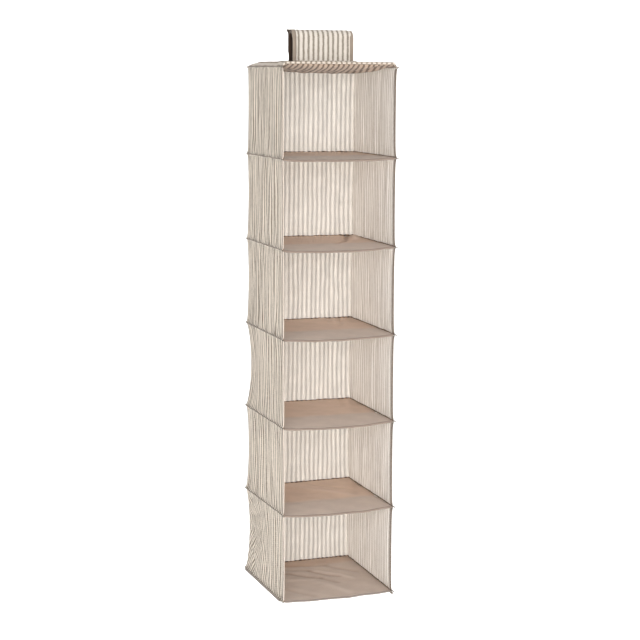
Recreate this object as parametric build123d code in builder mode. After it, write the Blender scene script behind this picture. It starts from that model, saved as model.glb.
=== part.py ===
"""Hanging fabric shoe organizer: a closet-rod strap, a stiffened top and six open-fronted compartments.

Frame: origin on the axis of the closet rod, +X along the rod, -Y out of the open front, +Z up.
Units are millimetres. Level 0 is the seam under the top; levels 1 to 6 are the six shelves.
"""
from build123d import *
from math import hypot
import os

os.makedirs("parts", exist_ok=True)

# ---- driving dimensions ----
WIDTH = 304.8              # outer width, left wall to right wall (12 in)
DEPTH = 330.2              # front edge to back wall (13 in)
PITCH = 228.6              # height of one compartment, seam to seam (9 in)
COMPARTMENTS = 6
ROD_RADIUS = 12.7          # the closet rod that the strap hangs on (1 in)
ROD_CLEARANCE = 0.3
TOP_SEAM_Z = -76.0         # level 0, below the rod's axis

FABRIC = 1.2               # striped wall cloth with its backing
BOARD = 3.0                # stiffener in the top and in each shelf
SLEEVE_SHEET = 1.0         # plain cloth above and below a board
BOARD_PLAY = 0.3           # air round a board in its pocket

SEAM_ALLOWANCE = 3.2       # cloth edges that stand out past the walls
ALLOWANCE_THICK = 1.4
BINDING = 0.8              # tape folded round an edge
BINDING_TAIL = 10.0        # tape left standing past each front corner
EDGE_BINDING_WIDTH = 9.0   # tape on the walls' front edges
SKIRT_DROP = 7.5           # tape hanging below the lowest seam

STRAP_WIDTH = 166.0
STRAP_THICK = 2.4
STRAP_BINDING = 10.0       # tape along each long edge of the strap
FOOT_LENGTH = 27.0         # sewn-down end of each strap leg
TAPE_THICK = 1.2           # hook tape and loop tape, one each
TAPE_GAP = 0.3
TAPE_WIDTH = 124.0
TAPE_TOP_Z = -8.0
TAPE_BOTTOM_Z = -35.0
FLAP_END_Z = -38.0         # free end of the flap, behind the rod

TOP_FACE_Z = -61.8         # upper face of the top cover
TOP_BOARD_INSET = 9.0      # board edge to wall, left and right
TOP_BOARD_REAR_INSET = 30.0
LINING_SAG = 16.0          # how far the cloth under the top hangs down

# ---- worked-out dimensions ----
HALF_W = WIDTH / 2
HALF_D = DEPTH / 2
INNER_W = HALF_W - FABRIC
INNER_D = HALF_D - FABRIC
SHELF = BOARD + 2 * (BOARD_PLAY + SLEEVE_SHEET)
LOOP_RADIUS = ROD_RADIUS + ROD_CLEARANCE
FLAP_RADIUS = LOOP_RADIUS + STRAP_THICK + 2 * TAPE_THICK + TAPE_GAP
HALF_BAND = STRAP_WIDTH / 2 - STRAP_BINDING
LIP_FROM = (STRAP_THICK - BINDING) / 2
LIP_TO = (STRAP_THICK + BINDING) / 2
LIP_LENGTH = STRAP_BINDING - BINDING


def level_z(level):
    """Height of the seam at a level."""
    return TOP_SEAM_Z - PITCH * level


def save(piece, node):
    """Label a finished piece and write it as its own node."""
    piece.part.label = node
    export_step(piece.part, f"parts/{node}.step")


def block(x_range, y_range, z_range, mode=Mode.ADD):
    """Add or cut a block given by its two corners."""
    spans = [high - low for low, high in (x_range, y_range, z_range)]
    middle = [(low + high) / 2 for low, high in (x_range, y_range, z_range)]
    with Locations(tuple(middle)):
        Box(*spans, mode=mode)


# ---- the strap: four lengths that share one cross-section, each drawn in the YZ plane ----
def half_ring(radius, inner, outer):
    """Upper half of a ring about the rod; inner and outer are depths into the strap."""
    Circle(radius + outer)
    Circle(radius + inner, mode=Mode.SUBTRACT)
    with Locations((0, -radius)):
        Rectangle(4 * radius, 2 * radius, mode=Mode.SUBTRACT)


def leg(side, radius, inner, outer):
    """Straight leg from the rod's height down to a foot turned away from the rod."""
    near, far = radius + inner, radius + outer
    with Locations((side * (near + far) / 2, (TOP_FACE_Z + inner) / 2)):
        Rectangle(far - near, -TOP_FACE_Z - inner)
    toe = radius + FOOT_LENGTH
    with Locations((side * (near + toe) / 2, TOP_FACE_Z + (inner + outer) / 2)):
        Rectangle(toe - near, outer - inner)


def tongue_section(inner, outer):
    half_ring(LOOP_RADIUS, inner, outer)


def flap_section(inner, outer):
    half_ring(FLAP_RADIUS, inner, outer)
    with Locations((FLAP_RADIUS + (inner + outer) / 2, FLAP_END_Z / 2)):
        Rectangle(outer - inner, -FLAP_END_Z)


def rear_leg_section(inner, outer):
    leg(1, LOOP_RADIUS, inner, outer)


def front_leg_section(inner, outer):
    leg(-1, FLAP_RADIUS, inner, outer)


STRAP_SECTIONS = {
    "tongue": tongue_section,
    "flap": flap_section,
    "rear_leg": rear_leg_section,
    "front_leg": front_leg_section,
}


def strap_run(section, x_from, x_to, inner=0.0, outer=STRAP_THICK, mode=Mode.ADD):
    """One stretch of the strap's width."""
    with BuildSketch(Plane.YZ.offset(x_from)) as profile:
        section(inner, outer)
    extrude(profile.sketch, amount=x_to - x_from, mode=mode)


for name, section in STRAP_SECTIONS.items():
    with BuildPart() as band:
        strap_run(section, -HALF_BAND, HALF_BAND)
        strap_run(section, -HALF_BAND - LIP_LENGTH, -HALF_BAND, LIP_FROM, LIP_TO)
        strap_run(section, HALF_BAND, HALF_BAND + LIP_LENGTH, LIP_FROM, LIP_TO)
    save(band, f"strap_{name}")

    with BuildPart() as edging:
        strap_run(section, HALF_BAND, STRAP_WIDTH / 2)
        strap_run(section, HALF_BAND, HALF_BAND + LIP_LENGTH, LIP_FROM, LIP_TO, mode=Mode.SUBTRACT)
        mirror(about=Plane.YZ)
    save(edging, f"strap_{name}_binding")

TAPE_SPAN = (-TAPE_WIDTH / 2, TAPE_WIDTH / 2)
TAPE_HEIGHTS = (TAPE_BOTTOM_Z, TAPE_TOP_Z)
LOOP_TAPE_Y = LOOP_RADIUS + STRAP_THICK

with BuildPart() as loop_tape:
    block(TAPE_SPAN, (LOOP_TAPE_Y, LOOP_TAPE_Y + TAPE_THICK), TAPE_HEIGHTS)
save(loop_tape, "loop_tape")

with BuildPart() as hook_tape:
    block(TAPE_SPAN, (FLAP_RADIUS - TAPE_THICK, FLAP_RADIUS), TAPE_HEIGHTS)
save(hook_tape, "hook_tape")

# ---- the top: a board between a striped cover and a sagging striped lining ----
COVER_HEIGHT = TOP_FACE_Z - TOP_SEAM_Z
FLAT_HALF_W = HALF_W - TOP_BOARD_INSET
FLAT_REAR_Y = HALF_D - TOP_BOARD_REAR_INSET


def rectangle_between(half_width, front_y, rear_y):
    """Rectangle centred on X, from front_y to rear_y."""
    with Locations((0, (front_y + rear_y) / 2)):
        Rectangle(2 * half_width, rear_y - front_y)


def slope_skin(run):
    """Level thickness of cloth on a side that slopes in by this much."""
    return FABRIC * hypot(run, COVER_HEIGHT) / COVER_HEIGHT


SIDE_SKIN = slope_skin(TOP_BOARD_INSET)
REAR_SKIN = slope_skin(TOP_BOARD_REAR_INSET)


def cover_outline(z, skins=0):
    """The cover's outline at a height; skins=1 gives the inside of its cloth."""
    share = (TOP_FACE_Z - z) / COVER_HEIGHT
    half_width = FLAT_HALF_W + TOP_BOARD_INSET * share - SIDE_SKIN * skins
    rear_y = FLAT_REAR_Y + TOP_BOARD_REAR_INSET * share - REAR_SKIN * skins
    with BuildSketch(Plane.XY.offset(z)) as outline:
        rectangle_between(half_width, -HALF_D + FABRIC * skins, rear_y)
    return outline.sketch


def seam_ring(near, far, front_y, z_low, z_high, mode=Mode.ADD):
    """Three-sided ring round the left, back and right, from near to far outside the walls."""
    with BuildSketch(Plane.XY.offset(z_low)) as ring:
        rectangle_between(HALF_W + far, front_y, HALF_D + far)
        with Locations((0, -HALF_D)):
            Rectangle(2 * (HALF_W + near), 2 * (DEPTH + near), mode=Mode.SUBTRACT)
    extrude(ring.sketch, amount=z_high - z_low, mode=mode)


with BuildPart() as top_cover:
    loft([cover_outline(TOP_SEAM_Z), cover_outline(TOP_FACE_Z)])
    loft([cover_outline(TOP_SEAM_Z, skins=1), cover_outline(TOP_FACE_Z - FABRIC, skins=1)],
         mode=Mode.SUBTRACT)
    seam_ring(-SIDE_SKIN, SEAM_ALLOWANCE, -HALF_D, TOP_SEAM_Z, TOP_SEAM_Z + ALLOWANCE_THICK)
save(top_cover, "top_cover")

BOARD_TOP_Z = TOP_FACE_Z - FABRIC - BOARD_PLAY
BOARD_MARGIN = 1.0         # board edge to the start of the slope

with BuildPart() as top_board:
    block((-FLAT_HALF_W + BOARD_MARGIN, FLAT_HALF_W - BOARD_MARGIN),
          (-INNER_D + BOARD_PLAY, FLAT_REAR_Y - BOARD_MARGIN),
          (BOARD_TOP_Z - BOARD, BOARD_TOP_Z))
save(top_board, "top_board")


EDGE_Z = TOP_SEAM_Z - FABRIC
BOWL_W = INNER_W - FABRIC

with BuildPart() as top_lining:
    with BuildSketch(Plane.XZ.offset(-INNER_D)):
        with BuildLine():
            Polyline((-INNER_W, EDGE_Z), (-INNER_W, TOP_SEAM_Z), (INNER_W, TOP_SEAM_Z),
                     (INNER_W, EDGE_Z))
            ThreePointArc((INNER_W, EDGE_Z), (0, EDGE_Z - LINING_SAG), (-INNER_W, EDGE_Z))
        make_face()
    extrude(amount=INNER_D + HALF_D)
    # hollow above the cloth, closed by it at the front
    with BuildSketch(Plane.XZ.offset(-INNER_D)):
        with BuildLine():
            Line((-BOWL_W, TOP_SEAM_Z), (BOWL_W, TOP_SEAM_Z))
            ThreePointArc((BOWL_W, TOP_SEAM_Z), (0, TOP_SEAM_Z - LINING_SAG),
                          (-BOWL_W, TOP_SEAM_Z))
        make_face()
    extrude(amount=2 * INNER_D, mode=Mode.SUBTRACT)
save(top_lining, "top_lining")


# ---- seams: each has tape folded over the cloth edges that stand out past the walls ----
def seam_binding(level):
    """Tape round one seam, open at the front, with a tail past each front corner."""
    middle = level_z(level) + (ALLOWANCE_THICK / 2 if level == 0 else 0)
    half_slot = ALLOWANCE_THICK / 2
    low, high = middle - half_slot - BINDING, middle + half_slot + BINDING
    with BuildPart() as tape:
        seam_ring(0, SEAM_ALLOWANCE + BINDING, -HALF_D - BINDING_TAIL, low, high)
        seam_ring(0, SEAM_ALLOWANCE, -HALF_D, middle - half_slot, middle + half_slot,
                  mode=Mode.SUBTRACT)
        if level == COMPARTMENTS:
            seam_ring(0, BINDING, -HALF_D, low - SKIRT_DROP, low)
    save(tape, f"seam_binding_{level}")


for level in range(COMPARTMENTS + 1):
    seam_binding(level)


# ---- shelves: a board sewn into a plain sleeve ----
def shelf(level):
    z = level_z(level)
    with BuildPart() as sleeve:
        block((-HALF_W, HALF_W), (-HALF_D, HALF_D), (z - SHELF / 2, z + SHELF / 2))
        seam_ring(-SLEEVE_SHEET, SEAM_ALLOWANCE, -HALF_D,
                  z - ALLOWANCE_THICK / 2, z + ALLOWANCE_THICK / 2)
        pocket_w, pocket_d = HALF_W - SLEEVE_SHEET, HALF_D - SLEEVE_SHEET
        pocket_z = BOARD / 2 + BOARD_PLAY
        block((-pocket_w, pocket_w), (-pocket_d, pocket_d), (z - pocket_z, z + pocket_z),
              mode=Mode.SUBTRACT)
    save(sleeve, f"shelf_sleeve_{level}")

    board_w, board_d = pocket_w - BOARD_PLAY, pocket_d - BOARD_PLAY
    with BuildPart() as board:
        block((-board_w, board_w), (-board_d, board_d), (z - BOARD / 2, z + BOARD / 2))
    save(board, f"shelf_board_{level}")


# ---- walls: one set of three panels and two front edge tapes per compartment ----
def walls(number):
    """The compartment above shelf number; its cloth hangs from the level above."""
    low = level_z(number) + SHELF / 2
    high = TOP_SEAM_Z if number == 1 else level_z(number - 1) - SHELF / 2
    with BuildPart() as left_wall:
        block((-HALF_W, -INNER_W), (-HALF_D, HALF_D), (low, high))
    save(left_wall, f"left_wall_{number}")

    with BuildPart() as right_wall:
        block((INNER_W, HALF_W), (-HALF_D, HALF_D), (low, high))
    save(right_wall, f"right_wall_{number}")

    with BuildPart() as back_wall:
        block((-INNER_W, INNER_W), (INNER_D, HALF_D), (low, high))
    save(back_wall, f"back_wall_{number}")

    tape_high = high - FABRIC - BINDING if number == 1 else high
    with BuildPart() as edge_tapes:
        block((INNER_W - BINDING, HALF_W + BINDING),
              (-HALF_D - BINDING, -HALF_D - BINDING + EDGE_BINDING_WIDTH), (low, tape_high))
        block((INNER_W, HALF_W), (-HALF_D, HALF_D), (low, high), mode=Mode.SUBTRACT)
        mirror(about=Plane.YZ)
    save(edge_tapes, f"front_edge_binding_{number}")


for number in range(1, COMPARTMENTS + 1):
    shelf(number)
    walls(number)
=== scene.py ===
"""Looks of the hanging shoe organizer: striped cloth walls, plain shelves and the strap round the CAD frame.

Metres, in the CAD's frame: +X right along the rod, -Y out of the open front, +Z up.
"""
import math

import bmesh
import bpy
import numpy as np
from mathutils import Euler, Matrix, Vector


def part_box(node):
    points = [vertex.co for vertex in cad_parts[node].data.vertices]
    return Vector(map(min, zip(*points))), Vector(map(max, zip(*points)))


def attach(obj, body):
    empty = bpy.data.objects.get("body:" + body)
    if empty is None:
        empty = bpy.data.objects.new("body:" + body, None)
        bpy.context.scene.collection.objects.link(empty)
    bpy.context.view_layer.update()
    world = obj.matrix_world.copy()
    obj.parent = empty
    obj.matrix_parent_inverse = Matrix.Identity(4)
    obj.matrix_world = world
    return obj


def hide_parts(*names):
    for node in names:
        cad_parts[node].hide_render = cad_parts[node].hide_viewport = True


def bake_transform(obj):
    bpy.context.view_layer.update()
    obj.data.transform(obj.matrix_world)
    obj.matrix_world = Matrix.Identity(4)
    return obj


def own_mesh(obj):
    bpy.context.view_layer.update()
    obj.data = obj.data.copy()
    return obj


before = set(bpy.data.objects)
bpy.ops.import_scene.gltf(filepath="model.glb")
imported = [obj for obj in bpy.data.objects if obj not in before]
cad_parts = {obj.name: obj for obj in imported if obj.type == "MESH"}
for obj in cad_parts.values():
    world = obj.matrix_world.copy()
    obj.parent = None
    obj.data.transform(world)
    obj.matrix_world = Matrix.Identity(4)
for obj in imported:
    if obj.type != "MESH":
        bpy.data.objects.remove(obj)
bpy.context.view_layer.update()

MM = 0.001

# ---------------------------------------------------------------- sizes, from the frame
LEVELS = 6
TAPE_HALF = (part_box("seam_binding_1")[1].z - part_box("seam_binding_1")[0].z) / 2
SEAM_Z = [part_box(f"seam_binding_{k}")[1].z - TAPE_HALF for k in range(LEVELS + 1)]
HALF_W = -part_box("left_wall_2")[0].x
HALF_D = -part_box("left_wall_2")[0].y
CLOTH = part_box("left_wall_2")[1].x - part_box("left_wall_2")[0].x
SHELF_HALF = SEAM_Z[1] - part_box("shelf_sleeve_1")[0].z
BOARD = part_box("shelf_board_1")[1].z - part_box("shelf_board_1")[0].z
TOP_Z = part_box("top_cover")[1].z
STRAP_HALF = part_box("strap_flap_binding")[1].x
TONGUE_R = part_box("strap_tongue")[1].z
FLAP_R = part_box("strap_flap")[1].z
FLAP_END_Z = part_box("strap_flap")[0].z
FOOT_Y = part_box("strap_rear_leg")[1].y
FRONT_FOOT_Y = -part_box("strap_front_leg")[0].y
STRAP_THICK = 2.4 * MM
STRAP_TAPE = 10 * MM          # width of the tape along each edge of the strap

SKIRT_HIGH = 8.5 * MM          # tape hanging below the lowest seam
STITCH_PITCH, STITCH_LENGTH, THREAD_RADIUS = 3.6 * MM, 2.7 * MM, 0.28 * MM
TWIST = math.radians(0.35)    # each level hangs turned this much from the one above
FRONT_PART = 112 * MM         # shelf in front of the score line across its board
# how far the rear left, front left, front right and rear right corners of a level hang low, in mm
SETTLING = {5: (3, 0, 1, -1), 6: (0, 2, 3, -3)}
# creases in the shelves' loose cloth, in mm on the plan: from, to, depth (up where negative), half width; the
# shelf cloth also gets painted shade along the sunk ones and a painted highlight along the raised ones
SHELF_CREASES = {
    1: (((120, 160), (70, 60), 3.0, 12),),
    2: (((134, 166), (112, 110), 7.0, 10), ((112, 110), (88, 40), 7.0, 9), ((88, 40), (30, -50), 7.0, 9),
        ((150, 150), (112, 30), -5.0, 12),
        ((-150, 150), (-60, 120), 2.0, 14)),
    3: (((60, 160), (90, 60), -3.0, 14), ((110, 163), (70, 20), 3.5, 9), ((84, 164), (60, 90), 3.0, 6),
        ((140, 160), (120, 60), 2.5, 12)),
    4: (((120, 164), (95, 60), 2.5, 10), ((150, 120), (100, -30), 2.0, 16)),
    5: (((-60, 150), (90, -20), -3.0, 18), ((0, 160), (110, 40), 2.5, 12), ((150, 110), (100, -20), 3.0, 14)),
    6: (((-150, 62), (-60, 58), 3.5, 9), ((-60, 58), (10, 0), 5.0, 10), ((10, 0), (40, -60), 3.5, 9),
        ((-150, 20), (-20, -20), -3.5, 12), ((-100, 110), (0, 70), 3.0, 9), ((0, 70), (60, -10), 4.5, 9),
        ((20, 60), (90, -30), -3.5, 10), ((-60, 130), (60, 100), 3.0, 12), ((60, 100), (120, 20), 3.0, 12),
        ((-130, -50), (-60, -140), 2.5, 12), ((-10, -40), (40, -140), -2.5, 14))}
# painted shade in the rear right corner of every shelf, and along its right edge, in the same terms
SHELF_CORNER_SHADE = ((156, 165), (120, 165), 5.0, 30)
SHELF_RIGHT_SHADE = ((158, 165), (158, -160), 4.0, 34)
STRIPE_PITCH = 13.4 * MM
STRIPE_DARK = 5.6 * MM


# ---------------------------------------------------------------- camera and light
def look(angle_x, angle_y, angle_z):
    return Euler([math.radians(a) for a in (angle_x, angle_y, angle_z)])


AZIMUTH, PITCH_DOWN, ROLL = 18.83, 8.19, 0.40
DISTANCE, EYE_Z, EYE_SHIFT_X = 4.487, -0.094, 0.0031
FOCAL_PER_WIDTH = 1706 / 640

camera_data = bpy.data.cameras.new("camera")
camera_data.sensor_width = 36
camera_data.lens = 36 * FOCAL_PER_WIDTH
camera = bpy.data.objects.new("camera", camera_data)
turn = math.radians(AZIMUTH)
camera.location = (-math.sin(turn) * DISTANCE + EYE_SHIFT_X, -math.cos(turn) * DISTANCE, EYE_Z)
camera.rotation_euler = look(90 - PITCH_DOWN, 0, -AZIMUTH)
camera.rotation_mode = "QUATERNION"
camera.rotation_quaternion = (look(90 - PITCH_DOWN, 0, -AZIMUTH).to_quaternion()
                              @ look(0, 0, ROLL).to_quaternion())
bpy.context.scene.collection.objects.link(camera)
bpy.context.scene.camera = camera
bpy.context.scene.view_settings.view_transform = "Standard"


def area_light(name, place, target, size, watts, colour):
    data = bpy.data.lights.new(name, "AREA")
    data.shape, data.size, data.energy, data.color = "SQUARE", size, watts, colour
    lamp = bpy.data.objects.new(name, data)
    lamp.location = place
    aim = np.subtract(target, place)
    lamp.rotation_euler = (math.atan2(math.hypot(aim[0], aim[1]), -aim[2]), 0,
                           math.atan2(aim[1], aim[0]) - math.pi / 2)
    bpy.context.scene.collection.objects.link(lamp)


MIDDLE = (0, 0, (SEAM_Z[0] + SEAM_Z[-1]) / 2)
WHITE_LIGHT = (1.0, 1.0, 1.0)
area_light("right_front", (0.4, -4.2, 0.9), MIDDLE, 1.6, 96, WHITE_LIGHT)
area_light("left_front", (-2.4, -3.6, 0.2), MIDDLE, 1.6, 66, WHITE_LIGHT)
area_light("front", (-1.2, -4.3, -0.2), MIDDLE, 1.6, 78, WHITE_LIGHT)
area_light("low_front", (-0.3, -3.6, -2.4), MIDDLE, 1.6, 62, WHITE_LIGHT)
area_light("left", (-4.2, 0.6, -0.4), MIDDLE, 2.4, 53, WHITE_LIGHT)
area_light("behind", (3.2, 3.0, -0.4), MIDDLE, 2.4, 520, WHITE_LIGHT)

world = bpy.data.worlds.new("studio")
bpy.context.scene.world = world
world.use_nodes = True
world.node_tree.nodes["Background"].inputs["Color"].default_value = (1.0, 0.99, 0.975, 1)
world.node_tree.nodes["Background"].inputs["Strength"].default_value = 0.65


# ---------------------------------------------------------------- materials
def linear(red, green, blue):
    """A colour given as screen values from 0 to 255, as the shader wants it."""
    values = [c / 255 for c in (red, green, blue)]
    return tuple(c / 12.92 if c < 0.04045 else ((c + 0.055) / 1.055) ** 2.4 for c in values) + (1.0,)


class Shader:
    """A material's node tree, with short ways to add its nodes."""

    def __init__(self, name, roughness=0.92, sheen=0.0):
        self.material = bpy.data.materials.new(name)
        self.material.use_nodes = True
        self.tree = self.material.node_tree
        self.tree.nodes.clear()
        self.surface = self.tree.nodes.new("ShaderNodeBsdfPrincipled")
        self.surface.inputs["Roughness"].default_value = roughness
        self.surface.inputs["Sheen Weight"].default_value = sheen
        self.surface.inputs["Sheen Roughness"].default_value = 0.6
        self.surface.inputs["Specular IOR Level"].default_value = 0.25
        self.output = self.tree.nodes.new("ShaderNodeOutputMaterial")
        self.tree.links.new(self.surface.outputs[0], self.output.inputs["Surface"])
        uv = self.tree.nodes.new("ShaderNodeUVMap")
        uv.uv_map = "cloth"
        self.uv = uv.outputs["UV"]
        split = self.tree.nodes.new("ShaderNodeSeparateXYZ")
        self.tree.links.new(self.uv, split.inputs[0])
        self.u, self.v = split.outputs[0], split.outputs[1]

    def put(self, socket, value):
        if isinstance(value, bpy.types.NodeSocket):
            self.tree.links.new(value, socket)
        else:
            socket.default_value = value

    def math(self, operation, *values):
        node = self.tree.nodes.new("ShaderNodeMath")
        node.operation = operation
        for socket, value in zip(node.inputs, values):
            self.put(socket, value)
        return node.outputs[0]

    def noise(self, size, detail=2.0, stretch=(1, 1, 1)):
        """Noise from 0 to 1 whose blotches are about size metres across."""
        mapping = self.tree.nodes.new("ShaderNodeMapping")
        self.put(mapping.inputs["Vector"], self.uv)
        mapping.inputs["Scale"].default_value = stretch
        node = self.tree.nodes.new("ShaderNodeTexNoise")
        self.put(node.inputs["Vector"], mapping.outputs[0])
        node.inputs["Scale"].default_value = 1 / size
        node.inputs["Detail"].default_value = detail
        return node.outputs["Fac"]

    def ramp(self, value, low, high, to_low=0.0, to_high=1.0):
        node = self.tree.nodes.new("ShaderNodeMapRange")
        node.interpolation_type = "SMOOTHSTEP"
        for name, given in (("Value", value), ("From Min", low), ("From Max", high),
                            ("To Min", to_low), ("To Max", to_high)):
            self.put(node.inputs[name], given)
        return node.outputs[0]

    def mix(self, share, first, second, blend="MIX"):
        node = self.tree.nodes.new("ShaderNodeMix")
        node.data_type, node.blend_type = "RGBA", blend
        self.put(node.inputs[0], share)
        self.put(node.inputs[6], first)
        self.put(node.inputs[7], second)
        return node.outputs[2]

    def near_line(self, start, end, width):
        """1 on the line from start to end in the pattern, falling smoothly to 0 at width."""
        run = (end[0] - start[0], end[1] - start[1])
        length = run[0] ** 2 + run[1] ** 2
        from_u = self.math("SUBTRACT", self.u, start[0])
        from_v = self.math("SUBTRACT", self.v, start[1])
        along = self.math("MULTIPLY", from_u, run[0] / length)
        along = self.math("MULTIPLY_ADD", from_v, run[1] / length, along)
        along = self.math("MINIMUM", self.math("MAXIMUM", along, 0.0), 1.0)
        off_u = self.math("MULTIPLY_ADD", along, -run[0], from_u)
        off_v = self.math("MULTIPLY_ADD", along, -run[1], from_v)
        off = self.math("ADD", self.math("MULTIPLY", off_u, off_u), self.math("MULTIPLY", off_v, off_v))
        return self.math("SUBTRACT", 1.0, self.ramp(self.math("SQRT", off), 0.0, width))

    def wave(self, value, period):
        """A sine of the given period, from 0 to 1."""
        turns = self.math("MULTIPLY", value, 2 * math.pi / period)
        return self.math("MULTIPLY_ADD", self.math("SINE", turns), 0.5, 0.5)

    def weave(self, pitch):
        """Height of a plain weave: threads over and under, slightly uneven."""
        across, along = self.wave(self.u, pitch), self.wave(self.v, pitch)
        both = self.math("MULTIPLY", across, along)
        neither = self.math("MULTIPLY", self.math("SUBTRACT", 1.0, across),
                            self.math("SUBTRACT", 1.0, along))
        threads = self.math("ADD", both, neither)
        return self.math("ADD", threads, self.math("MULTIPLY", self.noise(pitch * 2), 0.5))

    def finish(self, colour, height, depth, strength=0.7, through=0.0):
        """Colour and relief; through is the share of light that thin cloth lets through."""
        self.put(self.surface.inputs["Base Color"], colour)
        bump = self.tree.nodes.new("ShaderNodeBump")
        bump.inputs["Strength"].default_value = strength
        bump.inputs["Distance"].default_value = depth
        self.put(bump.inputs["Height"], height)
        self.tree.links.new(bump.outputs[0], self.surface.inputs["Normal"])
        if through:
            glow = self.tree.nodes.new("ShaderNodeBsdfTranslucent")
            self.put(glow.inputs["Color"], colour)
            self.tree.links.new(bump.outputs[0], glow.inputs["Normal"])
            both = self.tree.nodes.new("ShaderNodeMixShader")
            both.inputs[0].default_value = through
            self.tree.links.new(self.surface.outputs[0], both.inputs[1])
            self.tree.links.new(glow.outputs[0], both.inputs[2])
            self.tree.links.new(both.outputs[0], self.output.inputs["Surface"])
        return self.material

    def mottled(self, colour, amount, size):
        """The colour, lighter and darker in soft blotches and single threads."""
        blotch = self.ramp(self.noise(size), 0.3, 0.7, 1 - amount, 1 + amount * 0.3)
        thread = self.ramp(self.noise(0.9 * MM, stretch=(1, 0.12, 1)), 0.25, 0.75,
                           1 - amount, 1.0)
        grey = self.math("MULTIPLY", blotch, thread)
        combine = self.tree.nodes.new("ShaderNodeCombineColor")
        for socket in combine.inputs:
            self.put(socket, grey)
        return self.mix(1.0, colour, combine.outputs[0], "MULTIPLY")


def ticking(name, cream, dark, contrast=1.0, through=0.5, wide=STRIPE_DARK):
    """Striped twill: cream ground, and dark stripes made of slanting dashes with cream flecks between."""
    s = Shader(name, sheen=0.12)
    wobble = s.math("MULTIPLY", s.math("SUBTRACT", s.noise(8 * MM, 3.0), 0.5), 3.4 * MM)
    phase = s.math("DIVIDE", s.math("ADD", s.u, wobble), STRIPE_PITCH)
    turn_share = s.math("SUBTRACT", s.math("FRACT", s.math("ADD", phase, 0.5)), 0.5)
    off_centre = s.math("MULTIPLY", s.math("ABSOLUTE", turn_share), STRIPE_PITCH)
    dash = s.wave(s.math("ADD", s.v, s.math("MULTIPLY", s.u, 0.5)), 5.2 * MM)
    half_width = s.math("MULTIPLY_ADD", dash, wide * 0.2, wide * 0.4)
    inside_by = s.math("SUBTRACT", half_width, off_centre)
    in_stripe = s.ramp(inside_by, -0.8 * MM, 0.8 * MM)
    slant = s.wave(s.math("ADD", s.u, s.v), 1.9 * MM)
    fleck = s.ramp(s.noise(2.4 * MM, 2.0), 0.50, 0.66)
    strength = s.math("SUBTRACT", 1.0, s.math("MULTIPLY", fleck, 0.40))
    strength = s.math("MULTIPLY", strength, s.math("MULTIPLY_ADD", slant, 0.22, 0.78))
    amount = s.math("MULTIPLY", s.math("MULTIPLY", in_stripe, strength), contrast)
    ground = s.mottled(linear(*cream), 0.05, 30 * MM)
    colour = s.mix(amount, ground, linear(*dark))
    height = s.math("ADD", s.weave(0.8 * MM), s.math("MULTIPLY", slant, 0.5))
    height = s.math("ADD", height, s.math("MULTIPLY", s.noise(6 * MM), 1.2))
    return s.finish(colour, height, 0.12 * MM, through=through)


def plain_cloth(name, colour, weave=0.8 * MM, amount=0.07, depth=0.12 * MM):
    s = Shader(name, sheen=0.1)
    height = s.math("ADD", s.weave(weave), s.math("MULTIPLY", s.noise(9 * MM), 1.5))
    return s.finish(s.mottled(linear(*colour), amount, 45 * MM), height, depth)


def shelf_cloth(level, rear, front, fold, front_part):
    """Plain taupe cloth with painted shade: browner towards the back than on the front part, dark along the
    front fold, darker along sunk creases and the rear right corner, lighter along raised creases.
    """
    s = Shader(f"shelf_taupe_{level}", sheen=0.1)
    height = s.math("ADD", s.weave(0.8 * MM), s.math("MULTIPLY", s.noise(9 * MM), 1.5))
    ahead = s.math("ABSOLUTE", s.v)
    # painted shade: the cloth behind the front part is browner, standing for the shade deep in the
    # compartment
    behind = s.ramp(s.math("ADD", ahead, s.math("MULTIPLY", s.noise(60 * MM), 8 * MM)),
                    front_part - 6 * MM, front_part + 26 * MM)
    colour = s.mix(behind, linear(*front), linear(*rear))
    # painted shade along sunk creases, the rear right corner and the right edge; painted highlight along
    # raised creases
    for start, end, depth, width in SHELF_CREASES[level] + (SHELF_CORNER_SHADE, SHELF_RIGHT_SHADE):
        # the pattern's v is counted back from the front fold
        line = [(x * MM, y * MM + HALF_D) for x, y in (start, end)]
        near = s.near_line(*line, (width + 4) * MM)
        shade = linear(112, 86, 68) if depth > 0 else linear(214, 198, 186)
        share = min(0.07 * abs(depth), 0.5) * (1 if level in (2, LEVELS) else 0.5)
        colour = s.mix(s.math("MULTIPLY", near, share), colour, shade)
    # painted shade: a dark band along the front fold, standing for the shadow under the shelf's front edge
    colour = s.mix(s.ramp(ahead, 1.4 * MM, 3.4 * MM), linear(*fold), colour)
    return s.finish(s.mottled(colour, 0.07, 45 * MM), height, 0.12 * MM)


def fibreboard(name):
    s = Shader(name, roughness=0.8)
    flakes = s.ramp(s.noise(2.5 * MM, 4.0), 0.35, 0.7)
    colour = s.mix(flakes, linear(150, 122, 92), linear(182, 154, 120))
    return s.finish(colour, s.noise(1.2 * MM, 4.0), 0.2 * MM)


def fastening(name, colour, grain):
    """Hook or loop tape: a bed of small stiff or fluffy ends."""
    s = Shader(name, roughness=1.0, sheen=0.3)
    coords = s.tree.nodes.new("ShaderNodeTexCoord")
    s.uv = coords.outputs["Object"]
    bed = s.noise(grain, 3.0)
    colour = s.mix(s.ramp(bed, 0.35, 0.65), linear(*[c * 0.72 for c in colour]), linear(*colour))
    return s.finish(colour, bed, 0.6 * MM, 1.0)


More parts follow.
